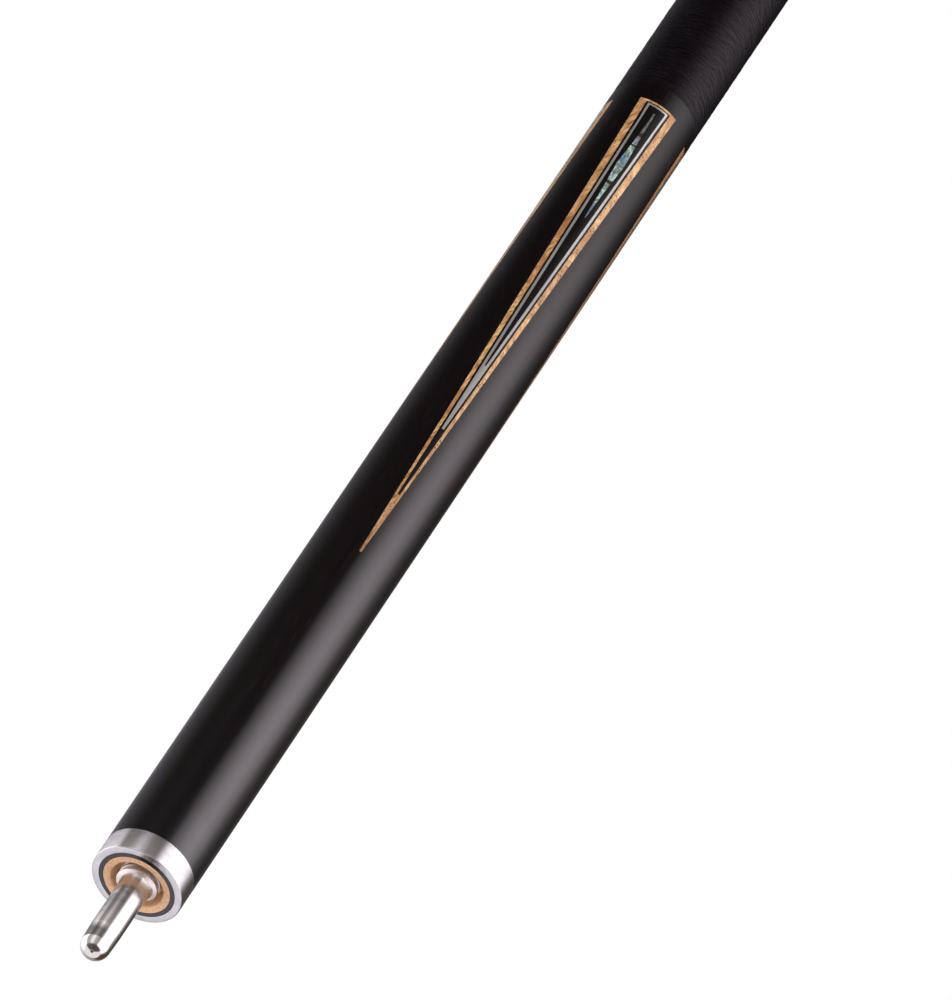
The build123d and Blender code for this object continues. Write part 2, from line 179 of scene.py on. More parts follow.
def math_node(tree, operation, a, b=0.0, clamp=False):
    made = node(tree, "ShaderNodeMath", {0: a, 1: b}, operation=operation, use_clamp=clamp)
    return made.outputs[0]


def ramp(tree, value, stops, interpolation="LINEAR"):
    """A colour ramp. stops is a list of (position, colour or grey)."""
    made = node(tree, "ShaderNodeValToRGB", {0: value})
    band = made.color_ramp
    band.interpolation = interpolation
    for number, (position, colour) in enumerate(stops):
        stop = band.elements[number] if number < 2 else band.elements.new(position)
        stop.position = position
        if not hasattr(colour, "__len__"):
            colour = (colour,) * 3
        stop.color = (*colour, 1.0)
    return made.outputs[0]


def mix(tree, factor, a, b, blend="MIX"):
    made = node(tree, "ShaderNodeMix", data_type="RGBA", blend_type=blend)
    for number, value in ((0, factor), (6, a), (7, b)):
        if isinstance(value, bpy.types.NodeSocket):
            tree.links.new(value, made.inputs[number])
        elif number:
            made.inputs[number].default_value = (*value, 1.0)
        else:
            made.inputs[number].default_value = value
    return made.outputs[2]


def place_of(tree):
    """A point's place in the cue's frame, in metres."""
    return node(tree, "ShaderNodeTexCoord").outputs["Object"]


def along_cue(tree):
    """A point's x, in metres."""
    return node(tree, "ShaderNodeSeparateXYZ", {0: place_of(tree)}).outputs[0]


def scaled(tree, scale):
    """A point's place in millimetres, times a scale for each axis."""
    size = [PER_MM * s for s in scale]
    return node(tree, "ShaderNodeMapping", {"Vector": place_of(tree), "Scale": size}).outputs[0]


def noise_at(tree, vector, scale, detail=4.0, roughness=0.5, distortion=0.0, output="Fac"):
    made = node(tree, "ShaderNodeTexNoise", {
        "Vector": vector, "Scale": scale, "Detail": detail,
        "Roughness": roughness, "Distortion": distortion,
    })
    return made.outputs[output]


def bump(tree, height, strength, distance, under=None):
    """A bumped normal, on top of the normal under it if there is one."""
    inputs = {"Height": height, "Strength": strength, "Distance": distance}
    if under is not None:
        inputs["Normal"] = under
    return node(tree, "ShaderNodeBump", inputs).outputs[0]


def value_of(tree, name):
    """A value that set_values gave to each vertex of a piece."""
    made = node(tree, "ShaderNodeAttribute", attribute_name=name, attribute_type="GEOMETRY")
    return made.outputs["Fac"]


def round_cue(tree):
    """The direction round the cue's axis, which the lathe's marks follow."""
    return node(tree, "ShaderNodeTangent", direction_type="RADIAL", axis="X").outputs[0]


def angle_round(tree):
    """The angle round the cue's axis at a point, as turns from -0.5 to 0.5, 0 at +Z."""
    parts = node(tree, "ShaderNodeSeparateXYZ", {0: place_of(tree)})
    angle = math_node(tree, "ARCTAN2", parts.outputs[1], parts.outputs[2])
    return math_node(tree, "DIVIDE", angle, TURN)


def new_material(name):
    """An empty material with a Principled shader. Returns material, tree and shader."""
    material = bpy.data.materials.new(name)
    material.use_nodes = True
    tree = material.node_tree
    tree.nodes.clear()
    shader = node(tree, "ShaderNodeBsdfPrincipled")
    output = node(tree, "ShaderNodeOutputMaterial")
    tree.links.new(shader.outputs[0], output.inputs[0])
    return material, tree, shader


def settle(tree, shader, links=None, **values):
    """Sets the shader's constant sockets and links its varying ones."""
    for name, value in values.items():
        socket = shader.inputs[name.replace("_", " ")]
        socket.default_value = (*value, 1.0) if hasattr(value, "__len__") else value
    for name, value in (links or {}).items():
        tree.links.new(value, shader.inputs[name])


# ---- studio

def share_round(degrees):
    """An angle from -180 to 180 degrees as a share of the way round the cue, from 0 to 1."""
    return (degrees + 180) / 360


def band_of_light(tree, share, stops):
    """A colour ramp round the cue's axis."""
    return ramp(tree, share, [
        (share_round(degrees), [c * brightness / STUDIO_PEAK for c in colour])
        for degrees, brightness, colour in stops
    ])


def between(tree, value, start, end):
    """0 below start, 1 above end."""
    made = node(tree, "ShaderNodeMapRange", {"Value": value, "From Min": start, "From Max": end})
    return made.outputs[0]


def fading_light(tree, share, along):
    """The light from behind, which fades along the cue, but less on the steady side."""
    fade_place = math_node(tree, "DIVIDE", math_node(tree, "ADD", along, 1.0), FADE_SPAN)
    fade = ramp(tree, fade_place, [((x + 1) / FADE_SPAN, left) for x, left in BEHIND_FADE])
    steady = between(tree, share, *[share_round(degrees) for degrees in STEADY_SIDE])
    fade = math_node(tree, "MAXIMUM", fade, math_node(tree, "MULTIPLY", steady, STEADY_SHARE))
    return mix(tree, 1.0, band_of_light(tree, share, BEHIND), fade, "MULTIPLY")


def make_world():
    """Studio light for the cue. The camera itself sees plain white behind it."""
    world = bpy.data.worlds.new("studio")
    bpy.context.scene.world = world
    world.use_nodes = True
    tree = world.node_tree
    tree.nodes.clear()
    direction = node(tree, "ShaderNodeTexCoord").outputs["Generated"]
    parts = node(tree, "ShaderNodeSeparateXYZ", {0: direction})
    angle = math_node(tree, "ARCTAN2", parts.outputs[1], parts.outputs[2])
    share = math_node(tree, "ADD", math_node(tree, "DIVIDE", angle, TURN), 0.5)
    along = parts.outputs[0]
    colour = fading_light(tree, share, along)
    colour = mix(tree, between(tree, along, *BESIDE_START), colour, band_of_light(tree, share, BESIDE))
    colour = mix(tree, between(tree, along, *FRONT_START), colour, band_of_light(tree, share, IN_FRONT))
    colour = mix(tree, between(tree, along, *STRAIGHT_AHEAD), colour, AHEAD_COLOUR)
    light = node(tree, "ShaderNodeBackground", {"Color": colour, "Strength": STUDIO_PEAK})
    backdrop = node(tree, "ShaderNodeBackground", {"Color": (1, 1, 1, 1), "Strength": 1.0})
    seen = node(tree, "ShaderNodeLightPath").outputs["Is Camera Ray"]
    both = node(tree, "ShaderNodeMixShader", {0: seen, 1: light.outputs[0], 2: backdrop.outputs[0]})
    output = node(tree, "ShaderNodeOutputWorld")
    tree.links.new(both.outputs[0], output.inputs[0])


def make_floor():
    """A white light-table floor, well below the cue. It only shows; the studio lights the cue."""
    half = FLOOR_HALF_SIZE
    z = CAD_BOUNDS[0].z - FLOOR_BELOW
    corners = [(-half, -half, z), (half, -half, z), (half, half, z), (-half, half, z)]
    mesh = bpy.data.meshes.new("floor")
    mesh.from_pydata(corners, [], [(0, 1, 2, 3)])
    floor = bpy.data.objects.new("floor", mesh)
    bpy.context.scene.collection.objects.link(floor)
    material = bpy.data.materials.new("floor_white")
    material.use_nodes = True
    tree = material.node_tree
    tree.nodes.clear()
    glow = node(tree, "ShaderNodeEmission", {"Color": (1, 1, 1, 1), "Strength": 1.0})
    output = node(tree, "ShaderNodeOutputMaterial")
    tree.links.new(glow.outputs[0], output.inputs[0])
    mesh.materials.append(material)
    floor.visible_glossy = False
    floor.visible_diffuse = False
    floor.visible_transmission = False
    floor.visible_shadow = False


# ---- materials

def dark_wood():
    """Near-black hardwood under satin lacquer, with fine brown flecks along the grain."""
    material, tree, shader = new_material("dark_wood")
    grain = noise_at(tree, scaled(tree, (0.05, 1.6, 1.6)), 1.0, 6.0, 0.62)
    flecks = noise_at(tree, scaled(tree, (0.12, 2.6, 2.6)), 1.0, 3.0, 0.5)
    body = ramp(tree, grain, [(0.3, (0.0022, 0.0014, 0.0017)), (0.7, (0.0046, 0.0030, 0.0032))])
    fleck = ramp(tree, flecks, [(0.62, 0.0), (0.72, 1.0)])
    colour = mix(tree, fleck, body, (0.018, 0.009, 0.007))
    fine = noise_at(tree, scaled(tree, (0.5, 6.0, 6.0)), 1.0, 2.0, 0.5)
    settle(tree, shader, {
        "Base Color": colour,
        "Normal": bump(tree, fine, 0.06, 0.00003),
    }, Roughness=0.22, IOR=1.5)
    return material


def black_phenolic():
    """Neutral black resin with a few faint speckles."""
    material, tree, shader = new_material("black_phenolic")
    speckle = noise_at(tree, scaled(tree, (3.0, 3.0, 3.0)), 1.0, 3.0, 0.6)
    colour = ramp(tree, speckle, [
        (0.35, (0.0026, 0.0023, 0.0026)), (0.75, (0.0075, 0.0066, 0.0075)),
    ])
    settle(tree, shader, {
        "Base Color": colour,
        "Normal": bump(tree, speckle, 0.05, 0.00003),
    }, Roughness=0.20, IOR=1.5)
    return material


def ridged(tree, value, width):
    """1 along the lines where a noise crosses its middle value, 0 away from them."""
    away = math_node(tree, "ABSOLUTE", math_node(tree, "SUBTRACT", value, 0.5))
    return ramp(tree, math_node(tree, "DIVIDE", away, width), [(0.0, 1.0), (1.0, 0.0)])


# How far apart in the figure the two sides of a point are cut
BETWEEN_SHEETS = 7.0


def veneer_place(tree, side, slant, size):
    """Places on a veneer in figures of a size (along, across), which slant away from the cue's axis."""
    along = math_node(tree, "MULTIPLY", along_cue(tree), PER_MM)
    turn = math_node(tree, "ABSOLUTE", angle_round(tree))
    across = math_node(tree, "MULTIPLY", turn, TURN * FOREARM_END_RADIUS / MM)
    sheet = math_node(tree, "MULTIPLY", side, BETWEEN_SHEETS)
    flat = node(tree, "ShaderNodeCombineXYZ", {0: along, 1: across, 2: sheet}).outputs[0]
    placed = node(tree, "ShaderNodeMapping", {
        "Vector": flat, "Rotation": (0, 0, math.radians(slant)), "Scale": (*size, 1.0),
    }, vector_type="TEXTURE")
    return placed.outputs[0]


def burl_eyes(tree, side):
    """1 in the burl's small dark eyes, which lie in groups where side is 1."""
    place = veneer_place(tree, side, 0, (1.1, 0.85))
    eyes = node(tree, "ShaderNodeTexVoronoi", {"Vector": place, "Scale": 1.0})
    eye = ramp(tree, eyes.outputs["Distance"], [(0.17, 1.0), (0.30, 0.0)])
    scatter = noise_at(tree, veneer_place(tree, side, 0, (8.0, 2.5)), 1.0, 2.0)
    few = ramp(tree, scatter, [(0.44, 0.0), (0.50, 1.0)])
    return math_node(tree, "MULTIPLY", math_node(tree, "MULTIPLY", eye, few), side)


def burl_wood():
    """Golden burl: slanting flame lines, red-brown clouds and small dark eyes, under lacquer.

    Each piece has a tone from 0, pale gold, to 1, red-brown. The eyes lie where its side is 1."""
    material, tree, shader = new_material("burl_wood")
    tone = value_of(tree, "tone")
    side = value_of(tree, "side")
    place = veneer_place(tree, side, 18, (6.0, 1.5))
    bend = noise_at(tree, place, 1.0, 3.0, 0.6, output="Color")
    warped = mix(tree, 0.7, place, bend, "ADD")
    swirl = noise_at(tree, warped, 1.2, 6.0, 0.66, 0.4)
    clouds = noise_at(tree, veneer_place(tree, side, 12, (11.0, 4.5)), 1.0, 3.0, 0.55, 0.6)
    body = ramp(tree, swirl, [
        (0.35, (0.25, 0.115, 0.038)), (0.44, (0.47, 0.260, 0.098)), (0.53, (0.62, 0.385, 0.170)),
        (0.63, (0.78, 0.530, 0.275)),
    ])
    lines = ridged(tree, noise_at(tree, warped, 1.5, 3.0, 0.6), 0.045)
    patches = ramp(tree, clouds, [(0.38, 1.0), (0.62, 0.5)])
    faint = ramp(tree, side, [(0.0, 1.0), (1.0, 0.55)])
    lines = math_node(tree, "MULTIPLY", math_node(tree, "MULTIPLY", lines, patches), faint)
    colour = mix(tree, lines, body, (0.17, 0.062, 0.018))
    cloud = ramp(tree, clouds, [(0.50, 0.0), (0.60, 0.8)])
    colour = mix(tree, cloud, colour, (0.33, 0.145, 0.058))
    # Each point's side-1 half is painted a little paler: partly the other sheet of veneer, partly painted
    # light copying the brighter, lit half of the point in view
    pale = ramp(tree, side, [(0.0, 0.0), (1.0, 0.12)])
    colour = mix(tree, pale, colour, (0.80, 0.54, 0.30))
    colour = mix(tree, tone, colour, (0.24, 0.112, 0.055))
    colour = mix(tree, burl_eyes(tree, side), colour, (0.06, 0.018, 0.009))
    settle(tree, shader, {"Base Color": colour}, Roughness=0.24, IOR=1.45)
    return material


def maple(name, light, dark, roughness, coat=0.0, fineness=1.1):
    """Pale wood with lines along the grain, as many to a millimetre as its fineness, and darker flecks."""
    material, tree, shader = new_material(name)
    lines = noise_at(tree, scaled(tree, (0.02, fineness, fineness)), 1.0, 5.0, 0.6)
    flecks = noise_at(tree, scaled(tree, (0.22, 2.4, 2.4)), 1.0, 3.0, 0.55)
    body = ramp(tree, lines, [(0.30, dark), (0.66, light)])
    fleck = ramp(tree, flecks, [(0.60, 0.0), (0.70, 0.45)])
    colour = mix(tree, fleck, body, [c * 0.62 for c in dark])
    settle(tree, shader, {
        "Base Color": colour,
        "Normal": bump(tree, flecks, 0.12, 0.00005),
    }, Roughness=roughness, IOR=1.5, Coat_Weight=coat, Coat_Roughness=0.15)
    return material


def ebony():
    """Black ebony with barely visible grain."""
    material, tree, shader = new_material("ebony")
    grain = noise_at(tree, scaled(tree, (0.1, 2.2, 2.2)), 1.0, 4.0, 0.6)
    colour = ramp(tree, grain, [
        (0.35, (0.0040, 0.0034, 0.0038)), (0.75, (0.0085, 0.0070, 0.0074)),
    ])
    settle(tree, shader, {"Base Color": colour}, Roughness=0.20, IOR=1.5)
    return material


def silver():
    """Soft white metal under lacquer, sanded on the lathe, so that its marks run round the cue."""
    material, tree, shader = new_material("silver")
    marks = noise_at(tree, scaled(tree, (5.0, 0.05, 0.05)), 1.0, 3.0, 0.6)
    tone = noise_at(tree, scaled(tree, (0.04, 0.4, 0.4)), 1.0, 2.0, 0.5)
    colour = ramp(tree, tone, [(0.3, (0.50, 0.505, 0.485)), (0.7, (0.62, 0.625, 0.60))])
    rough = ramp(tree, marks, [(0.3, 0.38), (0.7, 0.46)])
    settle(tree, shader, {
        "Base Color": colour,
        "Roughness": rough,
        "Normal": bump(tree, marks, 0.08, 0.00002),
        "Tangent": round_cue(tree),
    }, Metallic=0.85, IOR=1.5, Anisotropic=0.8, Anisotropic_Rotation=0.25)
    return material


def lathe_polish(name, base, roughness, groove_scale, strength, anisotropy):
    """Polished metal with fine lathe marks round the axis, which smear its reflections along the cue.

    Returns the material, its tree, its shader and the roughness that varies over it."""
    material, tree, shader = new_material(name)
    marks = noise_at(tree, scaled(tree, (groove_scale, 0.02, 0.02)), 1.0, 4.0, 0.7)
    smears = noise_at(tree, scaled(tree, (0.9, 0.35, 0.35)), 1.0, 4.0, 0.65)
    rough = ramp(tree, smears, [(0.3, roughness * 0.75), (0.75, roughness * 1.4)])
    colour = ramp(tree, smears, [(0.3, base), (0.8, [c * 0.88 for c in base])])
    settle(tree, shader, {
        "Base Color": colour,
        "Roughness": rough,
        "Normal": bump(tree, marks, strength, 0.00002),
        "Tangent": round_cue(tree),
    }, Metallic=1.0, Anisotropic=anisotropy, Anisotropic_Rotation=0.25)
    return material, tree, shader, rough


def turned_metal(name, *finish):
    """Lathe-polished metal with one finish all over."""
    return lathe_polish(name, *finish)[0]


# The pin's thread turns rougher, and is painted paler as painted light, between these distances in front
# of the joint face
MATT_AND_PAINTED_LIGHT_FADE = (1.1 * MM, 0.4 * MM)
# Half the width of the change from the pilot's polish to the nose's
POLISH_EDGE = 0.1 * MM


def pin_steel():
    """Steel that is polished on the pilot, finer on the nose and left rough on the thread, whose colour is
    also painted paler: painted light that keeps the thread bright in the bowl's shade.
    """
    base = (0.56, 0.54, 0.525)
    material, tree, shader, rough = lathe_polish("pin_steel", base, 0.17, 5.0, 0.06, 0.7)
    along = along_cue(tree)
    matt_and_painted_light = between(tree, along, *[JOINT_X + distance for distance in MATT_AND_PAINTED_LIGHT_FADE])
    shoulder = JOINT_X + PILOT_END
    fine = between(tree, along, shoulder - POLISH_EDGE, shoulder + POLISH_EDGE)
    rough = mix(tree, fine, rough, (0.09, 0.09, 0.09))
    rough = mix(tree, matt_and_painted_light, rough, (0.38, 0.38, 0.38))
    tree.links.new(rough, shader.inputs["Roughness"])
    # Painted light: the thread's base colour is painted paler than steel, so that it stays bright where
    # the bowl shades it
    tree.links.new(mix(tree, matt_and_painted_light, base, (0.74, 0.71, 0.70)), shader.inputs["Base Color"])
    return material


def abalone():
    """Abalone shell: green, teal and blue with brown veins. Each piece has its own tone and shade."""
    material, tree, shader = new_material("abalone")
    tone = value_of(tree, "tone")
    shade = value_of(tree, "shade")
    place = scaled(tree, (0.30, 0.75, 0.75))
    bend = noise_at(tree, place, 1.5, 2.0, 0.5, output="Color")
    warped = mix(tree, 0.7, place, bend, "ADD")
    bands = noise_at(tree, warped, 1.5, 1.5, 0.5, 0.8)
    swing = math_node(tree, "MULTIPLY", math_node(tree, "SUBTRACT", bands, 0.5), 1.7)
    value = math_node(tree, "FRACT", math_node(tree, "ADD", tone, swing))
    colour = ramp(tree, value, [
        (0.00, (0.16, 0.34, 0.24)),
        (0.12, (0.36, 0.70, 0.50)),
        (0.24, (0.86, 1.00, 0.94)),
        (0.36, (0.34, 0.66, 0.68)),
        (0.50, (0.12, 0.28, 0.36)),
        (0.64, (0.16, 0.26, 0.40)),
        (0.76, (0.46, 0.54, 0.70)),
        (0.88, (0.36, 0.30, 0.19)),
        (1.00, (0.16, 0.34, 0.24)),
    ])
    veins = ridged(tree, noise_at(tree, warped, 1.4, 2.0, 0.5, 1.0), 0.035)
    colour = mix(tree, math_node(tree, "MULTIPLY", veins, 0.8), colour, (0.07, 0.038, 0.018))
    colour = mix(tree, shade, colour, (0.045, 0.028, 0.020))
    settle(tree, shader, {
        "Base Color": colour,
        "Normal": bump(tree, bands, 0.35, 0.00015),
    }, Metallic=0.35, Roughness=0.24, IOR=1.5)
    return material


def wrap_leather():
    """Black pressed leather: fine creases and pores on the modelled wrinkles."""
    material, tree, shader = new_material("wrap_leather")
    pores = node(tree, "ShaderNodeTexVoronoi", {"Vector": scaled(tree, (1, 1, 1)), "Scale": 2.2})
    creases = noise_at(tree, scaled(tree, (0.95, 0.20, 0.20)), 1.0, 4.0, 0.62, 0.5)
    tone = noise_at(tree, scaled(tree, (0.10, 0.16, 0.16)), 1.0, 3.0, 0.6)
    colour = ramp(tree, tone, [(0.3, (0.0018, 0.0011, 0.0019)), (0.7, (0.0036, 0.0024, 0.0035))])
    rough = ramp(tree, creases, [(0.35, 0.40), (0.65, 0.27)])
    pored = bump(tree, pores.outputs["Distance"], 0.25, 0.00005)
    creased = bump(tree, creases, 0.7, 0.00028, under=pored)
    settle(tree, shader, {"Base Color": colour, "Roughness": rough, "Normal": creased},
           IOR=1.46, Specular_IOR_Level=0.17, Specular_Tint=(1.0, 0.90, 1.0))
    return material


def bumper_rubber():
    """Matt black rubber with a fine moulded texture."""
    material, tree, shader = new_material("bumper_rubber")
    grains = noise_at(tree, scaled(tree, (2.2, 2.2, 2.2)), 1.0, 4.0, 0.6)
    colour = ramp(tree, grains, [(0.3, 0.010), (0.7, 0.022)])
    settle(tree, shader, {
        "Base Color": colour,
        "Normal": bump(tree, grains, 0.4, 0.00006),
    }, Roughness=0.62, IOR=1.5)
    return material


def ferrule_white():
    """Warm white resin with a few hairline marks."""
    material, tree, shader = new_material("ferrule_white")
    marks = noise_at(tree, scaled(tree, (2.0, 0.2, 0.2)), 1.0, 4.0, 0.6)
    tone = noise_at(tree, scaled(tree, (0.3, 0.3, 0.3)), 1.0, 3.0, 0.5)
    colour = ramp(tree, tone, [(0.3, (0.74, 0.72, 0.65)), (0.7, (0.82, 0.80, 0.74))])
    settle(tree, shader, {
        "Base Color": colour,
        "Normal": bump(tree, marks, 0.08, 0.00002),
    }, Roughness=0.25, IOR=1.5)
    return material


def pad_fibre():
    """Dark pressed fibre."""
    material, tree, shader = new_material("pad_fibre")
    fibres = noise_at(tree, scaled(tree, (4.0, 1.2, 1.2)), 1.0, 4.0, 0.7)
    colour = ramp(tree, fibres, [(0.3, (0.012, 0.010, 0.010)), (0.7, (0.04, 0.032, 0.030))])
    settle(tree, shader, {"Base Color": colour}, Roughness=0.6)
    return material


# How far back from the crown of the tip the chalk reaches
CHALK_REACH = 4.2 * MM


def tip_leather():
    """Layered brown leather with blue chalk on its dome."""
    material, tree, shader = new_material("tip_leather")
    layers = noise_at(tree, scaled(tree, (3.2, 0.25, 0.25)), 1.0, 4.0, 0.6)
    side = ramp(tree, layers, [(0.3, (0.10, 0.055, 0.03)), (0.7, (0.22, 0.13, 0.075))])
    grains = noise_at(tree, scaled(tree, (1.6, 1.6, 1.6)), 1.0, 5.0, 0.7)
    chalk = ramp(tree, grains, [(0.3, (0.04, 0.13, 0.30)), (0.7, (0.12, 0.30, 0.52))])
    over = math_node(tree, "SUBTRACT", along_cue(tree), TIP_X - CHALK_REACH)
    over = math_node(tree, "MULTIPLY", over, PER_MM)
    ragged = math_node(tree, "ADD", over, math_node(tree, "SUBTRACT", grains, 0.5))
    colour = mix(tree, math_node(tree, "MULTIPLY", ragged, 1.4, clamp=True), side, chalk)
    settle(tree, shader, {
        "Base Color": colour,
        "Normal": bump(tree, grains, 0.5, 0.0001),
    }, Roughness=0.85)
    return material


def make_materials():
    """One material for each slot of the record."""
    return {
        "pin_steel": pin_steel(),
        "collar_steel": turned_metal("collar_steel", (0.53, 0.52, 0.53), 0.22, 6.0, 0.06, 0.97),
        "screw_steel": turned_metal("screw_steel", (0.42, 0.42, 0.43), 0.26, 5.0, 0.15, 0.5),
        "black_phenolic": black_phenolic(),
        "dark_wood": dark_wood(),
        "core_maple": maple("core_maple", (0.88, 0.56, 0.32), (0.62, 0.33, 0.15), 0.50, fineness=2.2),
        "burl": burl_wood(),
        "ebony": ebony(),
        "silver": silver(),
        "abalone": abalone(),
        "wrap_leather": wrap_leather(),
        "brass": turned_metal("brass", (0.78, 0.55, 0.25), 0.24, 7.0, 0.25, 0.5),
        "bumper_rubber": bumper_rubber(),
        "shaft_maple": maple("shaft_maple", (0.80, 0.63, 0.43), (0.66, 0.48, 0.29), 0.30, 0.3),
        "ferrule_white": ferrule_white(),
        "pad_fibre": pad_fibre(),
        "tip_leather": tip_leather(),
    }


# ---- mesh helpers

SLOT_OF = {part["node"]: part["material_slot"] for part in frame["record"]["subparts"]}
BODY_OF = {n: body for body, nodes in frame["record"]["behaviour"]["bodies"].items() for n in nodes}


def finish_piece(name, vertices, faces, replaced, sharp=30.0):
    """Makes a smooth-shaded object of these faces that stands for a CAD node and rides its body."""
    mesh = bpy.data.meshes.new(name)
    mesh.from_pydata(vertices, [], faces)
    mesh.validate()
    for polygon in mesh.polygons:
        polygon.use_smooth = True
    mesh.set_sharp_from_angle(angle=math.radians(sharp))
    mesh.materials.append(MATERIALS[SLOT_OF[replaced]])
    piece = bpy.data.objects.new(name, mesh)
    bpy.context.scene.collection.objects.link(piece)
    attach(piece, BODY_OF[replaced])
    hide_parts(replaced)
    return piece


def round_point(x, radius, angle):
    """A point at an angle round the cue's axis, measured from +Z towards +Y."""
    return (x, radius * math.sin(angle), radius * math.cos(angle))


# Places closer than TINY are the same, and rows closer than NARROW are one row
TINY = 1e-9
NARROW = 1e-7


def turned_points(outline, segments, radius_at):
    """The points of an outline turned round the axis, and each ring's first point and count."""
    vertices, rings = [], []
    for x, radius in outline:
        count = 1 if radius is not None and radius < TINY else segments
        rings.append((len(vertices), count))
        for step in range(count):
            angle = TURN * step / segments
            there = radius_at(x, angle) if radius is None else radius
            vertices.append(round_point(x, there, angle))
    return vertices, rings


def turned_piece(node_name, outline, segments=160, sharp=30.0, radius_at=None):
    """A solid turned from a closed outline of (x, radius), anticlockwise with x to the right.

    Where a radius is None, radius_at(x, angle) gives it."""
    vertices, rings = turned_points(outline, segments, radius_at)
    faces = []
    for (a, count_a), (b, count_b) in zip(rings, rings[1:] + rings[:1]):
        for step in range(segments):
            after = (step + 1) % segments
            if count_a > 1 and count_b > 1:
                faces.append((b + step, a + step, a + after, b + after))
            elif count_a > 1:
                faces.append((a + step, a + after, b))
            elif count_b > 1:
                faces.append((a, b + after, b + step))
    return finish_piece(node_name + "_piece", vertices, faces, node_name, sharp)


def rounded(corner, before, after, radius, steps=4):
    """Points of a small round at an outline's corner, between its neighbours before and after."""
    c = Vector(corner)
    start = c + (Vector(before) - c).normalized() * radius
    end = c + (Vector(after) - c).normalized() * radius
    points = []
    for step in range(steps + 1):
        t = step / steps
        points.append(tuple(start * (1 - t) ** 2 + c * 2 * t * (1 - t) + end * t ** 2))
    return points


def softened(outline, rounds):
    """An outline with some corners rounded. rounds maps a corner's number to its radius."""
    points = []
    for number, corner in enumerate(outline):
        if number in rounds:
            before, after = outline[number - 1], outline[(number + 1) % len(outline)]
            points.extend(rounded(corner, before, after, rounds[number]))
        else:
            points.append(corner)
    return points


# ---- joint

COLLAR_INNER = 9.04 * MM
CRISP_ROUND = 0.06 * MM
EDGE_ROUND = 0.3 * MM


def make_joint_rings():
    """The steel collar, and the black collar whose spigot fills it."""
    low, high = span("joint_collar")
    turned_piece("joint_collar", softened([
        (low, COLLAR_INNER), (high, COLLAR_INNER), (high, butt_radius(high)), (low, butt_radius(low)),
    ], {1: CRISP_ROUND, 2: EDGE_ROUND}))
    back = box("phenolic_collar")[0].x
    turned_piece("phenolic_collar", [
        (back, CORE_RADIUS), (high, CORE_RADIUS), (high, COLLAR_INNER), (low, COLLAR_INNER),
        (low, butt_radius(low)), (back, butt_radius(back)),
    ])


BOWL_LIP = 6.6 * MM
BOWL_MOUTH = 6.3 * MM
BOWL_FLOOR = 5.4 * MM
BOWL_DEPTH = 3.2 * MM
BOWL_STEPS = 12
BOWL_CURVE = 1.3
LIP_DEPTH = 0.12 * MM
LIP_FLARE = 0.08 * MM
PIN_SHANK = 4.7625 * MM
STUD_RADIUS = 4.7625 * MM
STUD_REACH = 29.5 * MM


def bowl_outline(face):
    """The bowl from its floor to its lip, which lies in the joint face at x = face."""
    points = []
    for step in range(BOWL_STEPS):
        left = 1 - step / BOWL_STEPS
        radius = BOWL_MOUTH - (BOWL_MOUTH - BOWL_FLOOR) * left ** BOWL_CURVE
        points.append((face - BOWL_DEPTH * left, radius))
    return points + [(face - LIP_DEPTH, BOWL_MOUTH + LIP_FLARE), (face, BOWL_LIP)]


def make_core():
    """The maple core, with the rounded bowl that the pin stands in."""
    low, high = span("forearm_core")
    stud_end = low + STUD_REACH
    anchor = box("joint_pin")[0].x
    turned_piece("forearm_core", [
        (low, STUD_RADIUS), (stud_end, STUD_RADIUS), (stud_end, 0), (anchor, 0), (anchor, PIN_SHANK),
        (high - BOWL_DEPTH, PIN_SHANK), *bowl_outline(high), (high, CORE_RADIUS), (low, CORE_RADIUS),
    ])


THREAD_PITCH = 25.4 / 16 * MM
THREAD_ROOT = 3.9 * MM
THREAD_FLANK = 0.24 * MM
GROOVE_HALF = 0.47 * MM
FIRST_GROOVE = 0.91 * MM
THREAD_FRONT = 0.21 * MM
THREAD_ROWS = 90
# The thread is modelled from a little under the bowl's floor
THREAD_MARGIN = 0.1 * MM
NECK_END = 3.2 * MM
NECK_STEPS = 8
NECK_CURVE = 2.5
PILOT_RADIUS = 3.5 * MM
PILOT_END = 15.3 * MM
SHOULDER_LENGTH = 0.15 * MM
SHOULDER_DROP = 0.02 * MM
NOSE_RADIUS = 3.35 * MM
NOSE_STEPS = 24


def thread_radius(x, angle):
    """The radius of the pin's right-hand thread, which stops at a steep face in front."""
    turn = (x - JOINT_X + FIRST_GROOVE) / THREAD_PITCH + angle / TURN
    away = abs(turn - round(turn)) * THREAD_PITCH
    tooth = (away - GROOVE_HALF + THREAD_FLANK) / THREAD_FLANK
    front = (JOINT_X + THREAD_FRONT + THREAD_FLANK - x) / THREAD_FLANK
    height = min(1.0, max(0.0, min(tooth, front)))
    return THREAD_ROOT + (PIN_SHANK - THREAD_ROOT) * height


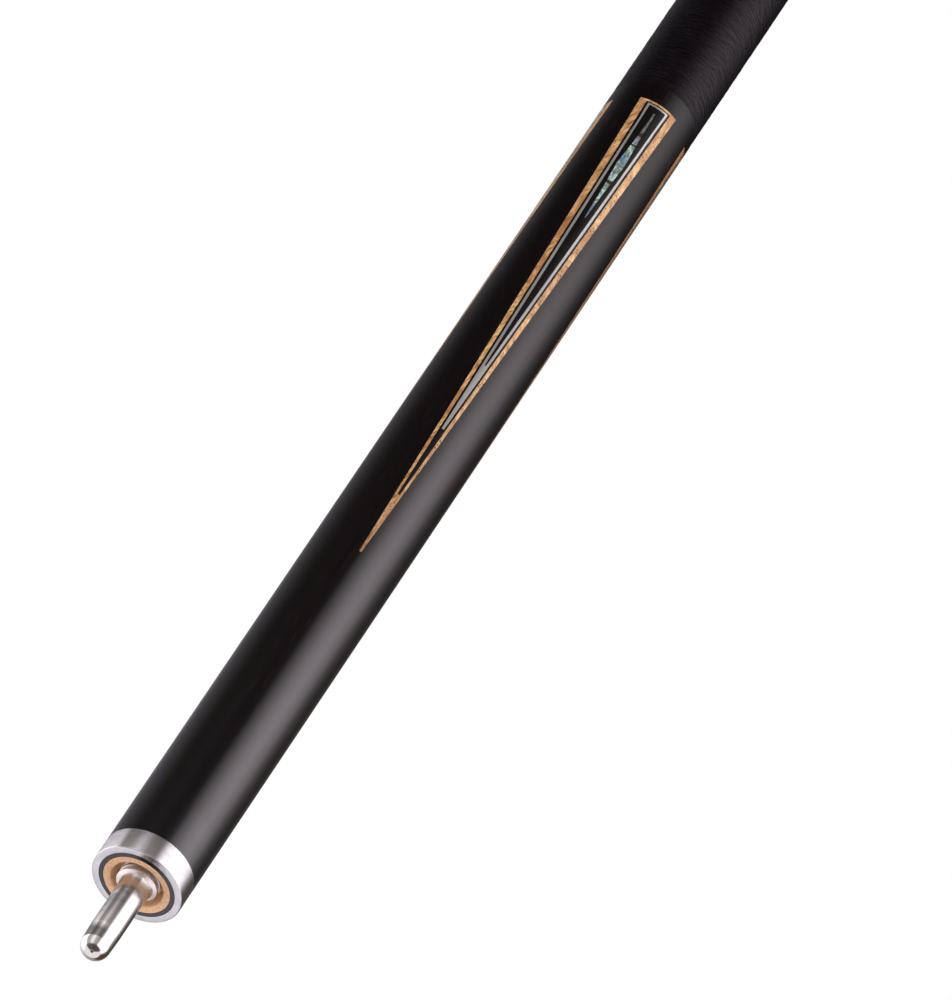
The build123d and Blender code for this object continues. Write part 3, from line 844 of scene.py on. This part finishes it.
def pin_outline():
    """The pin from its nose to its hidden end, as (x, radius); None marks a threaded row."""
    low, tip = span("joint_pin")
    thread_low = JOINT_X - BOWL_DEPTH - THREAD_MARGIN
    thread_high = JOINT_X + THREAD_FRONT + THREAD_FLANK
    rows = [(low, 0), (low, PIN_SHANK), (thread_low - THREAD_MARGIN, PIN_SHANK)]
    for step in range(THREAD_ROWS + 1):
        rows.append((thread_low + (thread_high - thread_low) * step / THREAD_ROWS, None))
    neck_high = JOINT_X + NECK_END
    for step in range(1, NECK_STEPS + 1):
        t = step / NECK_STEPS
        radius = PILOT_RADIUS + (THREAD_ROOT - PILOT_RADIUS) * (1 - t) ** NECK_CURVE
        rows.append((thread_high + (neck_high - thread_high) * t, radius))
    shoulder = JOINT_X + PILOT_END
    rows += [(shoulder - SHOULDER_LENGTH, PILOT_RADIUS), (shoulder, PILOT_RADIUS - SHOULDER_DROP)]
    nose = tip - NOSE_RADIUS
    rows += [((shoulder + nose) / 2, (PILOT_RADIUS + NOSE_RADIUS) / 2), (nose, NOSE_RADIUS)]
    for step in range(1, NOSE_STEPS + 1):
        angle = math.pi / 2 * step / NOSE_STEPS
        rows.append((nose + NOSE_RADIUS * math.sin(angle), NOSE_RADIUS * math.cos(angle)))
    return rows[::-1]


def make_pin():
    """The joint pin, with a real helical thread at its base and a round nose."""
    turned_piece("joint_pin", pin_outline(), sharp=35.0, radius_at=thread_radius)


# ---- forearm and inlays

INLAYS = ["burl_point", "black_field", "silver_border", "ebony_panel"]
TIP_HALF_WIDTH = {"burl_point": 0.28 * MM, "black_field": 0.32 * MM, "silver_border": 0.30 * MM,
                  "ebony_panel": 0.20 * MM}
DEPTH = {"burl_point": 2.6 * MM, "black_field": 2.0 * MM, "silver_border": 1.5 * MM,
         "ebony_panel": 1.1 * MM, "abalone_spear": 0.7 * MM}
POINT_COUNT = 4
ROW_STEP = 12 * MM
# The greatest share of a plate's width that a pocket takes
POCKET_SHARE = 0.8
# A spear's outline: (share of its length from its tip, share of its greatest half width)
SPEAR_SHAPE = [(0.0, 0.18), (0.232, 0.375), (0.499, 1.0), (0.785, 0.40), (1.0, 0.18)]


def outline_of(name):
    """A point's (base x, tip x, half width at base, half width at tip), seen from above."""
    low, high = box(name + "_1")
    return low.x, high.x, high.y, TIP_HALF_WIDTH[name]


def half_angle(name, x):
    """Half the angle that an inlay takes up round the cue at x, or 0 beyond its ends."""
    if name == "abalone_spear":
        low, high = box("abalone_spear_1")
        share = (high.x - x) / (high.x - low.x)
        if not 0 <= share <= 1:
            return 0.0
        for (s0, w0), (s1, w1) in zip(SPEAR_SHAPE, SPEAR_SHAPE[1:]):
            if s0 <= share <= s1:
                width = high.y * (w0 + (w1 - w0) * (share - s0) / (s1 - s0))
                return math.asin(width / butt_radius(x))
    base, tip, base_half, tip_half = outline_of(name)
    if not base - TINY <= x <= tip + TINY:
        return 0.0
    width = base_half + (tip_half - base_half) * (x - base) / (tip - base)
    return math.asin(width / butt_radius(x))


def row_places(low, high):
    """The x of each row of a mesh: every inlay's ends and bends, and even steps between them."""
    fixed = {low, high}
    for name in INLAYS + ["abalone_spear"]:
        fixed.update(span(name + "_1"))
    spear_low, spear_high = span("abalone_spear_1")
    for share, _ in SPEAR_SHAPE:
        fixed.add(spear_high - share * (spear_high - spear_low))
    fixed = sorted(x for x in fixed if low - TINY <= x <= high + TINY)
    places = []
    for a, b in zip(fixed, fixed[1:]):
        if b - a < NARROW:
            continue
        steps = max(1, round((b - a) / ROW_STEP))
        places.extend(a + (b - a) * step / steps for step in range(steps))
    return places + [high]


def pocket_columns(outer, pocket, x, side_count, pocket_count):
    """The angles of a row's columns across a sector of half angle outer, with a pocket in its middle.

    Beyond the pocket's ends the columns keep the width that it has there."""
    inner = half_angle(pocket, x)
    if inner == 0.0:
        low, high = span(pocket + "_1")
        inner = half_angle(pocket, low if x < low else high)
    inner = min(inner, outer * POCKET_SHARE)
    columns = [-outer + (outer - inner) * step / side_count for step in range(side_count)]
    columns += [-inner + 2 * inner * step / pocket_count for step in range(pocket_count + 1)]
    columns += [inner + (outer - inner) * step / side_count for step in range(1, side_count + 1)]
    return columns


def even_columns(outer, count):
    """The angles of a row's columns, evenly spaced across a sector of half angle outer."""
    return [outer * (2 * step / count - 1) for step in range(count + 1)]


def shell(rows, columns, is_pocket, depth, pocket_depth, closed_round):
    """Vertices and faces of a curved plate on the butt's surface, with pockets sunk in its outside.

    rows are x places, columns(x) the angles there, is_pocket(row, column) tells which cells are sunk,
    and depth and pocket_depth give the plate's thickness and its pockets' depth at x."""
    grid = [columns(x) for x in rows]
    width = len(grid[0])
    vertices, index = [], {}

    def vertex(layer, i, j):
        if closed_round:
            j = j % (width - 1)
        key = (layer, i, j)
        if key not in index:
            index[key] = len(vertices)
            x = rows[i]
            sink = {"top": 0.0, "pocket": pocket_depth(x), "bottom": depth(x)}[layer]
            vertices.append(round_point(x, butt_radius(x) - sink, grid[i][j]))
        return index[key]

    def level(i, j):
        return "pocket" if is_pocket(i, j) else "top"

    def quad(a, b, c, d):
        faces.append((vertex(*a), vertex(*b), vertex(*c), vertex(*d)))

    faces = []
    last_row, last_column = len(rows) - 2, width - 2
    for i in range(last_row + 1):
        for j in range(last_column + 1):
            own = level(i, j)
            quad((own, i, j), (own, i + 1, j), (own, i + 1, j + 1), (own, i, j + 1))
            quad(("bottom", i, j), ("bottom", i, j + 1), ("bottom", i + 1, j + 1), ("bottom", i + 1, j))
            if i < last_row and level(i + 1, j) != own:
                other = level(i + 1, j)
                quad((own, i + 1, j), (other, i + 1, j), (other, i + 1, j + 1), (own, i + 1, j + 1))
            if (j < last_column or closed_round) and level(i, (j + 1) % (width - 1)) != own:
                other = level(i, (j + 1) % (width - 1))
                quad((own, i, j + 1), (own, i + 1, j + 1), (other, i + 1, j + 1), (other, i, j + 1))
    for j in range(last_column + 1):
        own = level(0, j)
        quad((own, 0, j), (own, 0, j + 1), ("bottom", 0, j + 1), ("bottom", 0, j))
        own = level(last_row, j)
        end = last_row + 1
        quad((own, end, j), ("bottom", end, j), ("bottom", end, j + 1), (own, end, j + 1))
    if not closed_round:
        for i in range(last_row + 1):
            own = level(i, 0)
            quad((own, i, 0), ("bottom", i, 0), ("bottom", i + 1, 0), (own, i + 1, 0))
            own = level(i, last_column)
            end = last_column + 1
            quad((own, i, end), (own, i + 1, end), ("bottom", i + 1, end), ("bottom", i, end))
    return vertices, faces


def within(name, rows, i):
    """Whether row i to i + 1 lies inside an inlay's length."""
    low, high = span(name + "_1")
    return low < (rows[i] + rows[i + 1]) / 2 < high


def make_forearm():
    """The forearm with its four pockets."""
    rows = row_places(FOREARM_LOW, FOREARM_HIGH)
    # Columns of faces on each side of a pocket, and across it
    side, middle = 9, 8
    sector = 2 * side + middle
    half = math.pi / POINT_COUNT

    def columns(x):
        one = pocket_columns(half, "burl_point", x, side, middle)
        angles = []
        for number in range(POINT_COUNT):
            angles.extend(a + 2 * half * number for a in one[:-1])
        return angles + [angles[0] + TURN]

    def is_pocket(i, j):
        return within("burl_point", rows, i) and side <= j % sector < side + middle

    vertices, faces = shell(
        rows, columns, is_pocket, lambda x: butt_radius(x) - CORE_RADIUS,
        lambda x: DEPTH["burl_point"], True)
    finish_piece("forearm_piece", vertices, faces, "forearm")


def turned_round(vertices, number):
    """The vertices turned to the place of point `number`."""
    angle = -TURN / POINT_COUNT * number
    c, s = math.cos(angle), math.sin(angle)
    return [(x, y * c + z * s, -y * s + z * c) for x, y, z in vertices]


def set_values(piece, name, values):
    """Gives each vertex of a piece a value that its material reads."""
    attribute = piece.data.attributes.new(name, "FLOAT", "POINT")
    attribute.data.foreach_set("value", values)


# How red-brown each point's veneer is, from 0 to 1, and how much redder it is at its tip
BURL_TONES = [0.0, 0.0, 0.45, 0.75]
TIP_REDNESS = 0.7
RED_TIP_LENGTH = 45 * MM


def burl_tone(number, from_tip):
    """The tone of a point's veneer at a distance from its tip, where it is reddest."""
    near_tip = max(0.0, 1.0 - from_tip / RED_TIP_LENGTH)
    return min(1.0, BURL_TONES[number] + TIP_REDNESS * near_tip)


def make_inlays():
    """The nested inlays of every point, each a plate with a pocket for the next."""
    # Columns of faces on each side of a pocket, and across it
    side, middle = 4, 6
    for place, name in enumerate(INLAYS):
        pocket = (INLAYS + ["abalone_spear"])[place + 1]
        low, high = span(name + "_1")
        rows = row_places(low, high)

        def columns(x):
            return pocket_columns(half_angle(name, x), pocket, x, side, middle)

        def is_pocket(i, j):
            return within(pocket, rows, i) and side <= j < side + middle

        vertices, faces = shell(
            rows, columns, is_pocket, lambda x: DEPTH[name], lambda x: DEPTH[pocket], False)
        for number in range(POINT_COUNT):
            node_name = f"{name}_{number + 1}"
            piece = finish_piece(node_name + "_piece", turned_round(vertices, number), faces, node_name)
            if name == "burl_point":
                set_values(piece, "tone", [burl_tone(number, high - x) for x, y, z in vertices])
                set_values(piece, "side", [1.0 if y > 0 else 0.0 for x, y, z in vertices])


# The pieces of shell from the spear's base to its tip: where each starts, its tone and how dark it is
SHELL_PIECES = [
    (0.000, 0.90, 0.55), (0.195, 0.88, 0.97), (0.225, 0.72, 0.05), (0.305, 0.60, 0.97),
    (0.318, 0.12, 0.10), (0.410, 0.55, 0.00), (0.475, 0.98, 0.20), (0.575, 0.30, 0.00),
    (0.648, 0.80, 0.97), (0.675, 0.10, 0.00), (0.735, 0.20, 0.05), (0.855, 0.78, 0.35),
    (0.975, 0.85, 0.80),
]
SHELL_GAP = 0.1 * MM
# How far the shell's tones shift from one point to the next
TONE_SHIFT = 0.17
SPEAR_COLUMNS = 4


def spear_columns(x):
    return even_columns(half_angle("abalone_spear", x), SPEAR_COLUMNS)


def make_spears():
    """Each abalone spear as thin pieces of shell, cut and set end to end."""
    base, tip = span("abalone_spear_1")
    length = tip - base
    bends = [tip - share * length for share, _ in SPEAR_SHAPE]
    ends = [start for start, _, _ in SHELL_PIECES[1:]] + [1.0]
    vertices, faces, tones, shades = [], [], [], []
    for (start, tone, shade), end in zip(SHELL_PIECES, ends):
        low, high = base + start * length, base + end * length - SHELL_GAP
        rows = sorted({low, high} | {x for x in bends if low + NARROW < x < high - NARROW})
        part, part_faces = shell(
            rows, spear_columns, lambda i, j: False, lambda x: DEPTH["abalone_spear"],
            lambda x: 0.0, False)
        first = len(vertices)
        vertices.extend(part)
        faces.extend(tuple(v + first for v in face) for face in part_faces)
        tones.extend([tone] * len(part))
        shades.extend([shade] * len(part))
    for number in range(POINT_COUNT):
        node_name = f"abalone_spear_{number + 1}"
        piece = finish_piece(node_name + "_piece", turned_round(vertices, number), faces, node_name)
        set_values(piece, "tone", [tone + TONE_SHIFT * number for tone in tones])
        set_values(piece, "shade", shades)


# ---- handle, wrap and butt end

WRINKLE_HEIGHT = 0.11 * MM
WRAP_SEGMENTS = 132
WRAP_ROW = 0.44 * MM
WRAP_EDGE = 0.9 * MM
EDGE_ROLL = 0.06 * MM
SEAM_ANGLE = math.radians(172)
SEAM_DEPTH = 0.2 * MM
SEAM_HALF = 0.5 * MM


def wrinkle(x, angle, radius):
    """How far a crease lies under the leather's tops, from 0 to 1. Creases run round the cue."""
    along = x / MM
    side, up = math.sin(angle) * radius / MM, math.cos(angle) * radius / MM
    # Slow waves bend the creases; the folds are wide, with fine lines between them
    bend = noise.noise(Vector((along * 0.09, side * 0.13, up * 0.13)))
    bend += 0.35 * noise.noise(Vector((along * 0.3, side * 0.35, up * 0.35 + 7.0)))
    fold = noise.noise(Vector((along * 0.62 + bend * 2.6, side * 0.15, up * 0.15)))
    fine = noise.noise(Vector((along * 1.15 + bend * 3.4, side * 0.26 + 5.0, up * 0.26)))
    crease = max(0.0, 1.0 - abs(fold) * 3.0)
    return 0.6 * crease + 0.4 * (0.5 + 0.5 * fine)


def leather_radius(x, angle):
    """The wrap's outer radius, with its wrinkles, its rolled ends and its seam."""
    radius = butt_radius(x)
    near_end = min(1.0, min(x - WRAP_LOW, WRAP_HIGH - x) / WRAP_EDGE)
    away = (angle - SEAM_ANGLE) * radius / SEAM_HALF
    sink = WRINKLE_HEIGHT * wrinkle(x, angle, radius) * near_end
    sink += EDGE_ROLL * (1 - near_end) ** 2
    sink += SEAM_DEPTH * math.exp(-away * away)
    return radius - sink


def make_wrap():
    """The leather wrap, with its wrinkles and one lengthwise seam modelled in the surface."""
    length = WRAP_HIGH - WRAP_LOW
    row_count = round(length / WRAP_ROW)
    outline = [(x, butt_radius(x) - WRAP_THICKNESS) for x in (WRAP_LOW, WRAP_HIGH)]
    for row in reversed(range(row_count + 1)):
        outline.append((WRAP_LOW + length * row / row_count, None))
    wrap = turned_piece("leather_wrap", outline, WRAP_SEGMENTS, 60.0, leather_radius)


BUTT_RINGS = [f"silver_ring_{number}" for number in range(1, 5)] + ["burl_ring_1", "burl_ring_2"]
SCREW_HOLE = 4.32 * MM
CAP_SPIGOT_BORE = 7.3 * MM
CAP_WEB_X = 20.5 * MM
CAP_ROUND = 1.6 * MM


def make_butt_end():
    """Rings, sleeve and cap behind the wrap."""
    for name in BUTT_RINGS + ["butt_sleeve"]:
        low, high = span(name)
        turned_piece(name, [
            (low, TENON_RADIUS), (high, TENON_RADIUS), (high, butt_radius(high)), (low, butt_radius(low)),
        ])
    low, high = span("butt_cap")
    turned_piece("butt_cap", softened([
        (low, CAP_SPIGOT_BORE), (CAP_WEB_X, CAP_SPIGOT_BORE), (CAP_WEB_X, SCREW_HOLE), (high, SCREW_HOLE),
        (high, butt_radius(high)), (low, butt_radius(low)),
    ], {0: EDGE_ROUND, 5: CAP_ROUND}))
    make_bumper()


HEAD_BORE = 5.3 * MM
HEAD_SEAT_X = 7.0 * MM
BUMPER_SPIGOT = 7.0 * MM
MOUTH_ROUND = 0.5 * MM
FOOT_ROUND = 2.2 * MM
# The rings moulded round the bumper's side: the front edge of each, and their shape
MOULDED_RINGS = (6.1 * MM, 4.0 * MM)
RING_WIDTH = 1.0 * MM
RING_SLOPE = 0.2 * MM
RING_DEPTH = 0.35 * MM


def make_bumper():
    """The rubber bumper: a rounded foot with two shallow rings moulded round its side."""
    radius = box("bumper")[1].z
    flange, spigot_end = box("butt_cap")[0].x, box("bumper")[1].x
    outline = [
        (0.0, HEAD_BORE), (HEAD_SEAT_X, HEAD_BORE), (HEAD_SEAT_X, SCREW_HOLE), (spigot_end, SCREW_HOLE),
        (spigot_end, BUMPER_SPIGOT), (flange, BUMPER_SPIGOT), (flange, radius - EDGE_ROUND),
        (flange - EDGE_ROUND, radius),
    ]
    for front in MOULDED_RINGS:
        back = front - RING_WIDTH
        outline += [
            (front, radius), (front - RING_SLOPE, radius - RING_DEPTH),
            (back + RING_SLOPE, radius - RING_DEPTH), (back, radius),
        ]
    outline.append((0.0, radius))
    turned_piece("bumper", softened(outline, {0: MOUTH_ROUND, len(outline) - 1: FOOT_ROUND}))


# ---- shaft

SHAFT_TENON = 7.9 * MM
SHAFT_COLLAR_BORE = 7.95 * MM
INSERT_RADIUS = 6.0 * MM
INSERT_REACH = 28.0 * MM
FERRULE_TENON = 4.0 * MM
# The shaft's taper, as (distance from its joint face, radius)
SHAFT_TAPER = [
    (10.0 * MM, 10.75 * MM), (60.0 * MM, 10.12 * MM), (120.0 * MM, 9.35 * MM), (180.0 * MM, 8.55 * MM),
    (240.0 * MM, 7.87 * MM), (300.0 * MM, 7.35 * MM), (356.0 * MM, 7.0 * MM), (440.0 * MM, 6.72 * MM),
    (530.0 * MM, 6.55 * MM), (620.0 * MM, 6.48 * MM),
]
DOME_HEIGHT = 3.2 * MM
DOME_STEPS = 12


def make_shaft():
    """The shaft's black joint collar, and the maple with its tenon, its insert's bore and its taper."""
    low, high = span("shaft_collar")
    radius = box("shaft_collar")[1].z
    turned_piece("shaft_collar", softened([
        (low, SHAFT_COLLAR_BORE), (high, SHAFT_COLLAR_BORE), (high, radius), (low, radius),
    ], {3: EDGE_ROUND}))
    end, ferrule_x = box("shaft")[1].x, box("ferrule")[0].x
    insert_end = SHAFT_X + INSERT_REACH
    outline = [
        (SHAFT_X, INSERT_RADIUS), (insert_end, INSERT_RADIUS), (insert_end, 0), (end, 0),
        (end, FERRULE_TENON), (ferrule_x, FERRULE_TENON), (ferrule_x, box("ferrule")[1].z),
    ]
    outline += [(SHAFT_X + distance, radius) for distance, radius in reversed(SHAFT_TAPER)]
    turned_piece("shaft", outline + [(high, SHAFT_TENON), (SHAFT_X, SHAFT_TENON)])


def make_tip():
    """The ferrule, the pad and the domed leather tip."""
    end, radius = box("shaft")[1].x, box("ferrule")[1].z
    ferrule_x = box("ferrule")[0].x
    pad_x, pad_high = span("tip_pad")
    turned_piece("ferrule", [
        (ferrule_x, FERRULE_TENON), (end, FERRULE_TENON), (end, 0), (pad_x, 0), (pad_x, radius),
        (ferrule_x, radius),
    ])
    turned_piece("tip_pad", [(pad_x, 0), (pad_high, 0), (pad_high, radius), (pad_x, radius)])
    side_end = TIP_X - DOME_HEIGHT
    outline = [(pad_high, 0)]
    for step in range(DOME_STEPS):
        angle = math.pi / 2 * step / DOME_STEPS
        outline.append((side_end + DOME_HEIGHT * math.cos(angle), radius * math.sin(angle)))
    turned_piece("cue_tip", outline + [(side_end, radius), (pad_high, radius)], sharp=40.0)


# ---- the whole scene

make_camera()
make_world()
make_floor()
MATERIALS = make_materials()
for node_name, cad_object in frame["nodes"].items():
    cad_object.data.materials.clear()
    cad_object.data.materials.append(MATERIALS[SLOT_OF[node_name]])
make_joint_rings()
make_core()
make_pin()
make_forearm()
make_inlays()
make_spears()
make_wrap()
make_butt_end()
make_shaft()
make_tip()
bpy.context.scene.view_settings.view_transform = "Standard"
